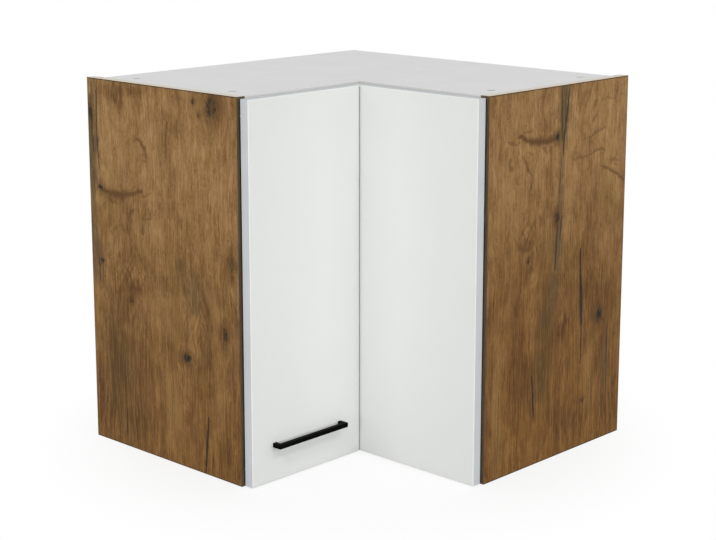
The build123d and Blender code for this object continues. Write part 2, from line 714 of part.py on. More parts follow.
carcass_cup = hinge_cup(
    CUP_PIVOT[0], CUP_PIVOT[1], BOSS_START, EYE_R + LINK_PLAY, FLANGE
)
fold_cup = hinge_cup(
    FOLD_PIVOT[0], FOLD_PIVOT[1], FOLD_HALF + LINK_PLAY, EYE_R, 0.0
)
for height, level in HINGE_LEVELS.items():
    finish(placed(carcass_cup, right_cup_plane(level)), f"{height}_hinge_cup")
    finish(placed(fold_cup, left_cup_plane(level)), f"{height}_fold_cup")

cup_screw = flush_screw(*CUP_SCREW)
with BuildPart() as hinge_cup_screws:
    for level in LEVELS:
        for side in (-1, 1):
            spot = right_cup_plane(level).offset(FLANGE)
            with Locations(spot):
                with Locations((-CUP_SCREW_OFFSET, side * CUP_SCREW_REACH, 0)):
                    add(cup_screw)
finish(hinge_cup_screws, "hinge_cup_screws")

with BuildPart() as fold_cup_screws:
    for level in LEVELS:
        for side in (-1, 1):
            spot = left_cup_plane(level).offset(FLANGE)
            with Locations(spot):
                with Locations((-CUP_SCREW_OFFSET, side * CUP_SCREW_REACH, 0)):
                    add(cup_screw)
finish(fold_cup_screws, "fold_cup_screws")

# ---- mounting plates and arms, built about the front of the arm's body ----------------------------
with BuildPart() as hinge_plate:
    with BuildSketch():
        with Locations((-ARM_LENGTH / 2, 0)):
            Rectangle(ARM_LENGTH, 2 * PLATE_HALF)
        with Locations((-WING_BACK, 0)):
            Rectangle(WING_LENGTH, 2 * WING_REACH)
    extrude(amount=PLATE_BASE)
    with BuildSketch(Plane.XY.offset(PLATE_BASE)):
        with Locations((-ARM_LENGTH / 2, 0)):
            Rectangle(ARM_LENGTH - 4 * ARM_WALL, 2 * RIDGE_HALF)
    extrude(amount=RIDGE_TOP - PLATE_BASE)
    for side in (-1, 1):
        with Locations(Plane(origin=(-WING_BACK, side * PLATE_SCREW_REACH, PLATE_BASE))):
            add(flush_hole(*PLATE_SCREW), mode=Mode.SUBTRACT)


def hinge_arm(nose_path, nose_r, nose_half):
    """A pressed arm: a channel over the plate's ridge and a flat nose along the given path."""
    with BuildPart() as arm:
        with BuildSketch(Plane.XZ):
            with BuildLine():
                Polyline(
                    (0, ARM_UNDER),
                    (0, ARM_TOP - 2 * ARM_WALL),
                    (-2 * ARM_WALL, ARM_TOP),
                    (-ARM_LENGTH + 2 * ARM_WALL, ARM_TOP),
                    (-ARM_LENGTH, ARM_TOP - 2 * ARM_WALL),
                    (-ARM_LENGTH, ARM_UNDER),
                    close=True,
                )
            make_face()
        extrude(amount=ARM_HALF, both=True)
        with BuildSketch(Plane.XY.offset(ARM_UNDER)):
            with Locations((-ARM_LENGTH / 2, 0)):
                Rectangle(ARM_LENGTH - 2 * ARM_WALL, 2 * (ARM_HALF - ARM_WALL))
        extrude(amount=ARM_TOP - ARM_WALL - ARM_UNDER, mode=Mode.SUBTRACT)
        with BuildSketch(Plane.XZ):
            for start, end in zip(nose_path, nose_path[1:]):
                middle = ((start[0] + end[0]) / 2, (start[1] + end[1]) / 2)
                SlotCenterPoint(middle, end, 2 * nose_r)
        extrude(amount=nose_half, both=True)
        pivot = nose_path[-1]
        with BuildSketch(Plane.XZ):
            with Locations(pivot):
                Circle(EYE_R)
        extrude(amount=nose_half, both=True)
        with BuildSketch(Plane.XZ):
            with Locations(pivot):
                Circle(PIVOT_R)
        extrude(amount=nose_half, both=True, mode=Mode.SUBTRACT)
    return arm.part


arm_reach = ARM_FRONT + DOOR_GAP
carcass_arm = hinge_arm(
    [
        (EYE_R - ARM_WALL, ARM_UNDER + EYE_R),
        (ARM_FRONT - NOSE_RUN, ARM_UNDER + EYE_R),
        (arm_reach + ARM_PIVOT[1], CUP_OFFSET - ARM_PIVOT[0]),
    ],
    EYE_R,
    NOSE_HALF,
)
fold_lift = ARM_UNDER + FOLD_BAR_R
fold_corner_x = FOLD_PLATE_INSET + FOLD_CLEAR
fold_inset = FOLD_CUP_INSET - FOLD_PIVOT[0]
fold_pivot_z = -(LEAF + CORNER_GAP + fold_inset)
fold_arm = hinge_arm(
    [
        (FOLD_BAR_R - ARM_WALL, fold_lift),
        (fold_corner_x, fold_lift),
        (fold_corner_x, fold_pivot_z),
        (FOLD_PLATE_INSET - FOLD_PIVOT[1], fold_pivot_z),
    ],
    FOLD_BAR_R,
    FOLD_HALF,
)
for height, level in HINGE_LEVELS.items():
    finish(placed(hinge_plate.part, right_plate_plane(level)), f"{height}_hinge_plate")
    finish(placed(carcass_arm, right_plate_plane(level)), f"{height}_hinge_arm")
    finish(placed(hinge_plate.part, fold_plate_plane(level)), f"{height}_fold_plate")
    finish(placed(fold_arm, fold_plate_plane(level)), f"{height}_fold_arm")

plate_screw = flush_screw(*PLATE_SCREW)


def plate_screws(plate_plane):
    """The screws of both hinge plates of one kind."""
    with BuildPart() as screws:
        for level in LEVELS:
            for side in (-1, 1):
                with Locations(plate_plane(level).offset(PLATE_BASE)):
                    with Locations((-WING_BACK, side * PLATE_SCREW_REACH, 0)):
                        add(plate_screw)
    return screws


finish(plate_screws(right_plate_plane), "hinge_plate_screws")
finish(plate_screws(fold_plate_plane), "fold_plate_screws")

# ---- links and pivots ----------------------------------------------------------------------------


def from_right_cup(point):
    """A pivot given from the centre of the cups in the right leaf, as x, y."""
    towards_edge, forward = point
    return (RIGHT_CUP + towards_edge, -(LEAF_BACK + forward))


arm_pivot = from_right_cup(ARM_PIVOT)
link_pivot = from_right_cup(LINK_PIVOT)
cup_pivot = from_right_cup(CUP_PIVOT)
fold_pivot = (LEAF_BACK + FOLD_PIVOT[1], LEFT_END_OF_LEAF - fold_inset)


def cheeks(level, span, start, end):
    """Two equal flat links, one above and one below the hinge's middle plane."""
    middle = ((start[0] + end[0]) / 2, (start[1] + end[1]) / 2)
    near, far = span
    for bottom in (level + near, level - far):
        with BuildSketch(Plane.XY.offset(bottom)) as outline:
            SlotCenterPoint(middle, end, 2 * EYE_R)
            with Locations(start, end):
                Circle(PIVOT_R, mode=Mode.SUBTRACT)
        extrude(outline.sketch, amount=far - near)


for height, level in HINGE_LEVELS.items():
    with BuildPart() as inner_link:
        cheeks(level, INNER_LINK_SPAN, arm_pivot, link_pivot)
        with BuildSketch(Plane.XY.offset(level - INNER_LINK_SPAN[0])):
            with Locations(link_pivot):
                Circle(EYE_R - LINK_PLAY)
                Circle(PIVOT_R, mode=Mode.SUBTRACT)
        extrude(amount=2 * INNER_LINK_SPAN[0])
    finish(inner_link, f"{height}_inner_link")
    with BuildPart() as outer_links:
        cheeks(level, OUTER_LINK_SPAN, link_pivot, cup_pivot)
    finish(outer_links, f"{height}_outer_links")


def pivot_pins(spot, stretches):
    """Pivot pins at both hinge levels, over the given stretches from the middle plane."""
    with BuildPart() as pins:
        for level in LEVELS:
            for low, high in stretches:
                with BuildSketch(Plane.XY.offset(level + low)):
                    with Locations(spot):
                        Circle(PIVOT_R - FIT)
                extrude(amount=high - low)
    return pins


inner_far = INNER_LINK_SPAN[1]
outer_near, outer_far = OUTER_LINK_SPAN
finish(pivot_pins(arm_pivot, [(-inner_far, inner_far)]), "arm_pivot_pins")
finish(pivot_pins(link_pivot, [(-outer_far, outer_far)]), "link_pivot_pins")
cup_stretches = [(-BOSS_END, -outer_near), (outer_near, BOSS_END)]
finish(pivot_pins(cup_pivot, cup_stretches), "cup_pivot_pins")
finish(pivot_pins(fold_pivot, [(-FOLD_PIN_HALF, FOLD_PIN_HALF)]), "fold_pivot_pins")

for pivot in (arm_pivot, link_pivot, cup_pivot, fold_pivot):
    print("pivot at", pivot)
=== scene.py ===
import math

import bmesh
import bpy
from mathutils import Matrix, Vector


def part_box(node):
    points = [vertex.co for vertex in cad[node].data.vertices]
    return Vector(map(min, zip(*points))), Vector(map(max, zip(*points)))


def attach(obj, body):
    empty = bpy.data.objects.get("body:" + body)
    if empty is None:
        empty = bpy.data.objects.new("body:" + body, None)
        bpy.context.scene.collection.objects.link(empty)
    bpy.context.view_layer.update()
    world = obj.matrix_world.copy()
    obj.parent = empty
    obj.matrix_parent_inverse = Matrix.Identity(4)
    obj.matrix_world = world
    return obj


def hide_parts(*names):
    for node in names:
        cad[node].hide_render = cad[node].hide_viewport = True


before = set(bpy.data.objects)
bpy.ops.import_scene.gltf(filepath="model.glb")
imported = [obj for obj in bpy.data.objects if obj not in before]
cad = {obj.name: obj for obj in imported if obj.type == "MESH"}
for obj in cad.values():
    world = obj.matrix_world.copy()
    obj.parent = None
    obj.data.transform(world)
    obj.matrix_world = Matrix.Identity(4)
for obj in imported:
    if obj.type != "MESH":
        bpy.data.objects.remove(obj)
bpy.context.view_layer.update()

# ---- camera -------------------------------------------------------------------------------------
# It stands before the open corner of the cabinet, a little above its top, and looks slightly down.
# The picture is shifted a little within the lens, which keeps the cabinet's uprights near upright.
LOOKS_DOWN = math.radians(11.539)
TURNED = math.radians(43.508)
camera = bpy.data.objects.new("camera", bpy.data.cameras.new("camera"))
camera.data.sensor_width = 36.0
camera.data.lens = 84.45
camera.data.shift_y = -0.08
camera.location = (2.1032, -2.2012, 0.9016)
camera.rotation_euler = (math.radians(90) - LOOKS_DOWN, 0.0, TURNED)
bpy.context.scene.collection.objects.link(camera)
bpy.context.scene.camera = camera
bpy.context.scene.view_settings.view_transform = "Standard"


# ---- studio -------------------------------------------------------------------------------------
# White light from all round, two broad lamps on the open side and one behind, two steep ones that
# draw soft shadows downwards, and a white floor a hair below the cabinet that keeps its shadow.
class Shade:
    """One value or colour of a finish; sums on it are written as Python expressions."""

    def __init__(self, finish, socket):
        self.finish = finish
        self.socket = socket

    def __add__(self, other):
        return self.finish.maths("ADD", self, other)

    def __sub__(self, other):
        return self.finish.maths("SUBTRACT", self, other)

    def __rsub__(self, other):
        return self.finish.maths("SUBTRACT", other, self)

    def __mul__(self, other):
        return self.finish.maths("MULTIPLY", self, other)

    def __truediv__(self, other):
        return self.finish.maths("DIVIDE", self, other)

    __radd__ = __add__
    __rmul__ = __mul__

    def size(self):
        """The value without its sign."""
        return self.finish.maths("ABSOLUTE", self)

    def over(self, other):
        """The larger of two masks."""
        return self.finish.maths("MAXIMUM", self, other)

    def rise(self, low, high):
        """0 up to low, 1 from high on, and smooth between them."""
        bounds = {0: self, 1: low, 2: high}
        return self.finish.node("MapRange", {"interpolation_type": "SMOOTHSTEP"}, bounds)


class Finish:
    """The nodes of one material, or of the light all round."""

    def __init__(self, holder):
        holder.use_nodes = True
        self.holder = holder
        self.tree = holder.node_tree

    def node(self, kind, settings, values, output=0):
        """Add a node: its settings first, then the values or links of its sockets."""
        made = self.tree.nodes.new("ShaderNode" + kind)
        for name, setting in settings.items():
            if name == "stops":
                ramp = made.color_ramp
                while len(ramp.elements) < len(setting):
                    ramp.elements.new(0.5)
                for element, (place, colour) in zip(ramp.elements, setting):
                    element.position = place
                    element.color = colour
            else:
                setattr(made, name, setting)
        self.fill(made, values)
        return Shade(self, made.outputs[output])

    def fill(self, made, values):
        for name, value in values.items():
            if isinstance(value, Shade):
                self.tree.links.new(value.socket, made.inputs[name])
            else:
                made.inputs[name].default_value = value

    def maths(self, operation, *terms):
        return self.node("Math", {"operation": operation}, dict(enumerate(terms)))

    def blend(self, amount, below, above):
        """Colour above over colour below."""
        return self.node("Mix", {"data_type": "RGBA"}, {0: amount, 6: below, 7: above}, 2)

    def place(self):
        """Where a point lies on the cabinet at rest: x, y and z in millimetres."""
        here = self.node("TexCoord", {}, {}, "Object")
        grown = self.node("VectorMath", {"operation": "SCALE"}, {0: here, "Scale": 1000.0})
        return [self.node("SeparateXYZ", {}, {0: grown}, axis) for axis in ("X", "Y", "Z")]

    def noise(self, x, y, z, detail=2.0, output="Fac"):
        """Soft noise about one unit coarse, with 0.5 in the middle."""
        at = self.node("CombineXYZ", {}, {0: x, 1: y, 2: z})
        grade = {"Vector": at, "Scale": 1.0, "Detail": detail, "Roughness": 0.55}
        return self.node("TexNoise", {}, grade, output)

    def shader(self, values):
        """Fill the sockets of the surface."""
        self.fill(self.tree.nodes["Principled BSDF"], values)

    def bumps(self, height, depth_mm):
        """Relief of the given depth where height goes from 0 to 1."""
        relief = {"Strength": 1.0, "Distance": depth_mm / 1000, "Height": height}
        self.shader({"Normal": self.node("Bump", {}, relief)})


def paint(red, green, blue):
    """A colour given as it shows on a screen, 0 to 255, for a shader."""
    linear = []
    for value in (red, green, blue):
        value = value / 255
        linear.append(value / 12.92 if value < 0.04045 else ((value + 0.055) / 1.055) ** 2.4)
    return (*linear, 1.0)


def seen(finish):
    """1 for what the camera sees, itself or in metal or glass, and 0 for light on the cabinet."""
    ray = finish.node("LightPath", {}, {}, "Is Camera Ray")
    for name in ("Is Glossy Ray", "Is Transmission Ray"):
        ray = ray.over(finish.node("LightPath", {}, {}, name))
    return ray


scene = bpy.context.scene
scene.world = bpy.data.worlds.new("studio")
studio = Finish(scene.world)
around = studio.tree.nodes["Background"]
AMBIENT = 0.5
strength = seen(studio) * (1 - AMBIENT) + AMBIENT
studio.fill(around, {"Color": paint(255, 255, 255), "Strength": strength})

# The floor throws back less light than its white shows, or the fronts would brighten to the foot.
# It glows plain white, but round the cabinet a share of it is lit, which keeps the shadow. That
# share fades between two distances from the cabinet's middle, in millimetres.
FLOOR_GAP = 0.0006
SHADOW_SHARE = 0.2
SHADOW_FADES = (300, 560)
bpy.ops.mesh.primitive_plane_add(size=60.0, location=(0.3, -0.3, -FLOOR_GAP))
floor = bpy.context.object
floor.name = "floor"
floor_finish = Finish(bpy.data.materials.new("floor"))
thrown_back = paint(146, 146, 146)
floor_white = floor_finish.blend(seen(floor_finish), thrown_back, paint(244, 244, 244))
floor_finish.shader({"Base Color": floor_white, "Roughness": 0.9, "Specular IOR Level": 0.0})
lit = Shade(floor_finish, floor_finish.tree.nodes["Principled BSDF"].outputs[0])
white = floor_finish.node("Emission", {}, {"Color": paint(255, 255, 255), "Strength": 1.0})
x, y, z = floor_finish.place()
away = floor_finish.maths("SQRT", x * x + y * y)
glow = away.rise(*SHADOW_FADES) * SHADOW_SHARE + (1 - SHADOW_SHARE)
shown = floor_finish.node("MixShader", {}, {0: seen(floor_finish) * glow, 1: lit, 2: white})
floor_finish.fill(floor_finish.tree.nodes["Material Output"], {"Surface": shown})
floor.data.materials.append(floor_finish.holder)

TARGET = Vector((0.3, -0.3, 0.3))
for name, at, width, height, power in (
    ("left_lamp", (0.6, -3.9, 0.8), 3.0, 1.4, 47.0),
    ("right_lamp", (3.9, -0.6, 0.8), 3.0, 1.4, 41.5),
    ("rear_lamp", (-2.3, 2.3, 0.3), 3.0, 0.4, 36.0),
):
    lamp = bpy.data.objects.new(name, bpy.data.lights.new(name, "AREA"))
    lamp.data.shape = "RECTANGLE"
    lamp.data.size = width
    lamp.data.size_y = height
    lamp.data.energy = power
    lamp.location = at
    lamp.rotation_euler = (TARGET - lamp.location).to_track_quat("-Z", "Y").to_euler()
    scene.collection.objects.link(lamp)
for name, towards in (("left_sun", (0.34, -0.6, 0.72)), ("right_sun", (0.62, 0.02, 0.76))):
    lamp = bpy.data.objects.new(name, bpy.data.lights.new(name, "SUN"))
    lamp.data.energy = 0.42
    lamp.data.angle = math.radians(6.0)
    lamp.rotation_euler = Vector(towards).to_track_quat("Z", "Y").to_euler()
    scene.collection.objects.link(lamp)


# ---- end panels ---------------------------------------------------------------------------------
# Chipboard, 16 mm, with an old-oak foil outside and white melamine inside; the foil's grain runs
# upright, with knots, cracks and grey clouds. Their top and bottom edges have a cream band.
def corners_of(node):
    """The lowest and the highest corner of a CAD piece, in millimetres."""
    low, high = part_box(node)
    return [round(value * 1000, 2) for value in low], [round(value * 1000, 2) for value in high]


low, high = corners_of("left_side_panel")
WIDTH = -low[1]
HEIGHT = high[2]
BOARD = round(high[1] - low[1], 2)
DEPTH = corners_of("left_front_band")[1][0]
FOIL = 0.2  # how thick the oak foil is


def dress(finish, *nodes):
    """Give CAD pieces their finish."""
    for name in nodes:
        cad[name].material_slots[0].material = finish.holder


def chipboard(finish, x, y, z):
    """Raw chipboard: pressed chips with darker ones among them."""
    chips = finish.noise(x / 2.2, y / 2.2, z / 2.2, 3.0)
    dark = finish.noise(x / 1.1, y / 1.1, z / 1.1, 1.0).rise(0.6, 0.68)
    wood = finish.blend(chips.rise(0.35, 0.65), paint(168, 136, 96), paint(206, 180, 140))
    return finish.blend(dark * 0.6, wood, paint(112, 84, 54))


def melamine(finish, x, y, z, colour, shade):
    """A white board face: even, with a faint unevenness of the given darker shade."""
    cloud = finish.noise(x / 60, y / 60, z / 60, 2.0).rise(0.3, 0.7)
    speck = finish.noise(x / 0.7, y / 0.7, z / 0.7, 1.0).rise(0.55, 0.75)
    return finish.blend(cloud * 0.25 + speck * 0.35, colour, shade)


def spot(finish, point, at, reach):
    """0 in the middle of a round mark, 1 at its rim and more outside it."""
    away = finish.node("VectorMath", {"operation": "SUBTRACT"}, {0: point, 1: (*at, 0.0)})
    shrunk = finish.node("VectorMath", {"operation": "DIVIDE"}, {0: away, 1: (*reach, 1.0)})
    return finish.node("VectorMath", {"operation": "LENGTH"}, {0: shrunk}, "Value")


def stroke(finish, point, start, end, bend, width):
    """A drawn-out mark as a mask, bent to the left of its run, thin at both ends, sizes in mm."""
    run = Vector((end[0] - start[0], end[1] - start[1], 0.0))
    aside = Vector((-run.y, run.x, 0.0)).normalized() * bend * 4
    away = finish.node("VectorMath", {"operation": "SUBTRACT"}, {0: point, 1: (*start, 0.0)})
    along = finish.node("VectorMath", {"operation": "DOT_PRODUCT"}, {0: away, 1: run}, "Value")
    part = finish.node("Clamp", {}, {0: along / run.length_squared})
    hump = part * (1 - part)
    nearest = finish.node("VectorMath", {"operation": "SCALE"}, {0: run, "Scale": part})
    if bend:
        bow = finish.node("VectorMath", {"operation": "SCALE"}, {0: aside, "Scale": hump})
        nearest = finish.node("VectorMath", {"operation": "ADD"}, {0: nearest, 1: bow})
    off = finish.node("VectorMath", {"operation": "DISTANCE"}, {0: away, 1: nearest}, "Value")
    return (off / (hump * 2.0 + 0.5)).rise(width * 0.9 + 0.6, width / 10)


def strongest(masks):
    """The largest of several masks at each point."""
    top = masks[0]
    for mask in masks[1:]:
        top = top.over(mask)
    return top


def pushed(finish, point, noise, reach):
    """The point moved aside by a coloured noise, by up to about half the reach in millimetres."""
    push = finish.node("VectorMath", {"operation": "SUBTRACT"}, {0: noise, 1: (0.5, 0.5, 0.5)})
    push = finish.node("VectorMath", {"operation": "MULTIPLY"}, {0: push, 1: (*reach, 0.0)})
    return finish.node("VectorMath", {"operation": "ADD"}, {0: point, 1: push})


def old_oak(finish, across, height, marks):
    """The oak foil, from the panel's front edge across and from its foot up, in millimetres.
    Gives its colour and its tone, from 0 in the dark grain to 1 in the light one."""
    # Marks are drawn on ground that is pushed aside: little for cracks, most for wide clouds.
    point = finish.node("CombineXYZ", {}, {0: across, 1: height, 2: 0.0})
    stir = finish.noise(across / 6, height / 9, 3.3, 3.0, "Color")
    drift = finish.noise(across / 30, height / 55, 6.1, 2.0, "Color")
    split = pushed(finish, point, stir, (3.5, 8.0))
    drawn = pushed(finish, point, stir, (9.0, 11.0))
    rough = pushed(finish, point, stir, (12.0, 16.0))
    loose = pushed(finish, rough, drift, (50.0, 90.0))

    # The grain: fine fibres, longer lines, mottling and planks, swung round the knots.
    waved = across + (finish.noise(across / 60, height / 170, 7.1) - 0.5) * 26
    for at, reach, _ in marks["knots"]:
        pull = spot(finish, point, at, (reach[0] * 5, reach[1] * 6)).rise(1.0, 0.0) * 0.55
        waved = waved - (across - at[0]) * pull
    fibre = finish.noise(waved / 0.9, height / 11, 0.4, 2.0)
    line = finish.noise(waved / 3.0, height / 60, 1.9, 2.0)
    mottle = finish.noise(waved / 17, height / 34, 4.2, 4.0)
    fleck = finish.noise(across / 4, height / 5, 8.8, 2.0)
    plank = finish.noise(waved / 55, height / 210, 2.5, 1.0)
    tone = fibre * 0.34 + line * 0.28 + mottle * 0.3 + plank * 0.2 - 0.06
    low_down = height.rise(480, 60)
    tone = tone + (tone - 0.5) * low_down * 0.3
    for at, reach, lean in marks["flames"]:
        arrow = (waved - at[0]).size() * lean + height
        flame = finish.noise(arrow / 7, 2.2, at[0], 2.0)
        tone = tone + (flame - 0.5) * spot(finish, loose, at, reach).rise(1.0, 0.2) * 0.42
    stops = [
        (0.36, paint(100, 67, 31)),
        (0.45, paint(134, 99, 56)),
        (0.53, paint(155, 119, 74)),
        (0.63, paint(180, 143, 94)),
    ]
    colour = finish.node("ValToRGB", {"stops": stops}, {0: tone})

    # Changes of hue, and the fall to a darker and redder foot.
    hue = finish.noise(waved / 26, height / 90, 9.4, 2.0)
    colour = finish.blend(hue.rise(0.52, 0.7) * 0.35, colour, paint(152, 115, 80))
    colour = finish.blend(hue.rise(0.48, 0.3) * 0.4, colour, paint(140, 109, 58))
    fall_from, fall_to, foot = marks["foot"]
    fall = finish.blend(height.rise(fall_from, fall_to), (1.0, 1.0, 1.0, 1.0), foot)
    colour = finish.node("VectorMath", {"operation": "MULTIPLY"}, {0: colour, 1: fall})

    # Clouds, veins, flecks and pores.
    grain = line * 0.6 + fibre * 0.4
    shades = {
        "pale": paint(162, 126, 78),
        "rust": paint(82, 47, 10),
        "ash": paint(80, 58, 24),
        "grey": paint(102, 81, 50),
    }
    for kind, shade in shades.items():
        clouds = []
        for at, reach, strength in marks[kind]:
            ground = loose if min(reach) > 17 else rough
            clouds.append(spot(finish, ground, at, reach).rise(1.15, 0.1) * strength)
        colour = finish.blend(strongest(clouds) * grain.rise(0.8, 0.4), colour, shade)
    vein = finish.noise(waved / 2.4, height / 160, 7.7, 3.0)
    colour = finish.blend(vein.rise(0.52, 0.66) * low_down * 0.5, colour, paint(78, 51, 20))
    colour = finish.blend(vein.rise(0.46, 0.34) * low_down * 0.4, colour, paint(158, 120, 70))
    flecks = fleck.rise(0.56, 0.68) * mottle.rise(0.6, 0.42)
    colour = finish.blend(flecks * 0.4, colour, paint(98, 66, 31))
    pores = finish.noise(waved / 0.7, height / 6, 5.5, 1.0).rise(0.58, 0.72)
    colour = finish.blend(pores * 0.5, colour, paint(84, 55, 26))

    # Smears, knots and, over all of them, cracks.
    smears = []
    for start, end, bend, width, strength in marks["smears"]:
        smears.append(stroke(finish, drawn, start, end, bend, width) * strength)
    smear = strongest(smears) * (grain.rise(0.25, 0.5) * 0.6 + 0.4)
    colour = finish.blend(smear, colour, paint(88, 58, 25))
    for at, reach, strength in marks["knots"]:
        away = spot(finish, rough, at, reach) + (fleck - 0.5) * 1.6
        colour = finish.blend(away.rise(3.6, 0.9) * 0.6 * strength, colour, paint(84, 54, 22))
        colour = finish.blend(away.rise(1.5, 0.7) * 0.8 * strength, colour, paint(66, 50, 27))
        eye = away.rise(0.95, 0.4) * line.rise(0.66, 0.5)
        colour = finish.blend(eye * strength, colour, paint(20, 14, 8))
    cracks = []
    for start, end, width, strength in marks["cracks"]:
        cracks.append(stroke(finish, split, start, end, 0, width) * strength)
    colour = finish.blend(strongest(cracks), colour, paint(30, 21, 12))
    return colour, tone


# The marks of each panel, in millimetres from its front edge and from its foot. Clouds and knots:
# middle, half width and half height, strength. Smears: two ends, bend, width, strength. Cracks: two
# ends, width, strength. Flames: middle, reach, steepness. Foot: from where, to where, colour.
LEFT_MARKS = {
    "foot": (480, 0, (0.66, 0.56, 0.39, 1.0)),
    "pale": [
        ((155, 80), (36, 80), 0.6),
        ((180, 230), (40, 50), 0.4),
        ((265, 480), (46, 60), 0.4),
        ((110, 450), (60, 80), 0.25),
        ((45, 140), (24, 70), 0.4),
    ],
    "knots": [
        ((55, 565), (11, 15), 0.9),
        ((95, 571), (3, 5), 0.8),
        ((83, 551), (2.5, 3.5), 0.7),
        ((15, 336), (4, 12), 0.8),
        ((32, 227), (4.5, 13), 0.75),
        ((250, 242), (3.5, 3), 0.9),
        ((119, 175), (9, 6.5), 1.0),
        ((319, 295), (4, 4), 0.85),
        ((318, 414), (5, 5), 0.9),
        ((339, 530), (5, 9), 0.7),
    ],
    "rust": [
        ((275, 562), (40, 26), 0.85),
        ((232, 574), (30, 12), 0.8),
        ((290, 406), (44, 14), 0.55),
        ((253, 230), (24, 22), 0.7),
        ((240, 264), (30, 16), 0.55),
        ((232, 135), (46, 90), 0.6),
        ((334, 90), (9, 90), 0.85),
        ((100, 60), (30, 70), 0.4),
        ((30, 40), (40, 70), 0.4),
        ((15, 338), (24, 36), 0.5),
        ((32, 228), (22, 30), 0.5),
        ((160, 500), (16, 60), 0.4),
        ((52, 560), (30, 34), 0.35),
    ],
    "grey": [
        ((339, 490), (20, 150), 1.6),
        ((338, 320), (18, 90), 1.3),
        ((100, 285), (34, 40), 0.5),
    ],
    "ash": [
        ((340, 525), (9, 40), 1.0),
        ((120, 304), (32, 26), 0.75),
        ((96, 274), (28, 36), 0.65),
        ((118, 220), (7, 46), 0.6),
        ((288, 125), (46, 110), 1.0),
        ((250, 50), (56, 70), 0.6),
        ((70, 200), (14, 70), 0.45),
    ],
    "smears": [
        ((322, 412), (218, 421), 8, 9.0, 0.8),
        ((300, 404), (245, 410), 3, 7.0, 0.4),
        ((262, 415), (231, 427), 2, 3.2, 0.5),
        ((216, 412), (195, 421), 1, 3.2, 0.45),
        ((299, 398), (280, 394), 1, 5.0, 0.55),
        ((228, 500), (205, 474), -7, 6.5, 0.7),
        ((286, 475), (279, 485), 2, 3.0, 0.35),
        ((236, 389), (252, 369), 4, 5.5, 0.65),
        ((204, 394), (212, 377), -10, 5.5, 0.65),
        ((256, 361), (250, 346), 0, 4.5, 0.6),
        ((217, 367), (217, 352), 0, 5.5, 0.65),
        ((221, 406), (222, 397), 0, 2.6, 0.4),
        ((149, 541), (159, 504), 2, 4.0, 0.4),
        ((159, 504), (159, 478), 0, 5.0, 0.4),
        ((263, 296), (245, 266), -3, 2.8, 0.6),
        ((258, 278), (257, 260), 0, 2.6, 0.5),
        ((204, 289), (220, 271), 4, 3.0, 0.5),
        ((229, 281), (235, 272), 0, 2.6, 0.4),
        ((250, 262), (226, 262), -2, 5.0, 0.6),
        ((185, 148), (181, 129), 1, 3.2, 0.5),
        ((298, 224), (294, 197), 2, 3.6, 0.45),
        ((75, 228), (77, 202), 0, 3.0, 0.5),
        ((88, 239), (75, 222), -2, 2.6, 0.4),
        ((66, 243), (75, 222), 2, 2.6, 0.4),
        ((63, 145), (63, 122), 0, 3.0, 0.5),
        ((78, 124), (69, 126), 0, 2.6, 0.5),
    ],
    "cracks": [
        ((322, 583), (325, 500), 2.6, 0.85),
        ((325, 500), (320, 440), 2.4, 0.7),
        ((338, 560), (334, 470), 3.2, 0.65),
        ((336, 440), (332, 398), 2.0, 0.55),
        ((327, 300), (326, 260), 2.8, 0.75),
        ((318, 285), (318, 258), 1.8, 0.55),
        ((72, 92), (81, 1), 3.4, 1.0),
        ((266, 64), (269, 18), 2.4, 0.9),
        ((63, 40), (64, 20), 1.4, 0.5),
    ],
    "flames": [
        ((92, 262), (50, 90), 2.2),
        ((240, 290), (60, 60), 1.6),
        ((15, 300), (30, 90), 3.0),
    ],
}
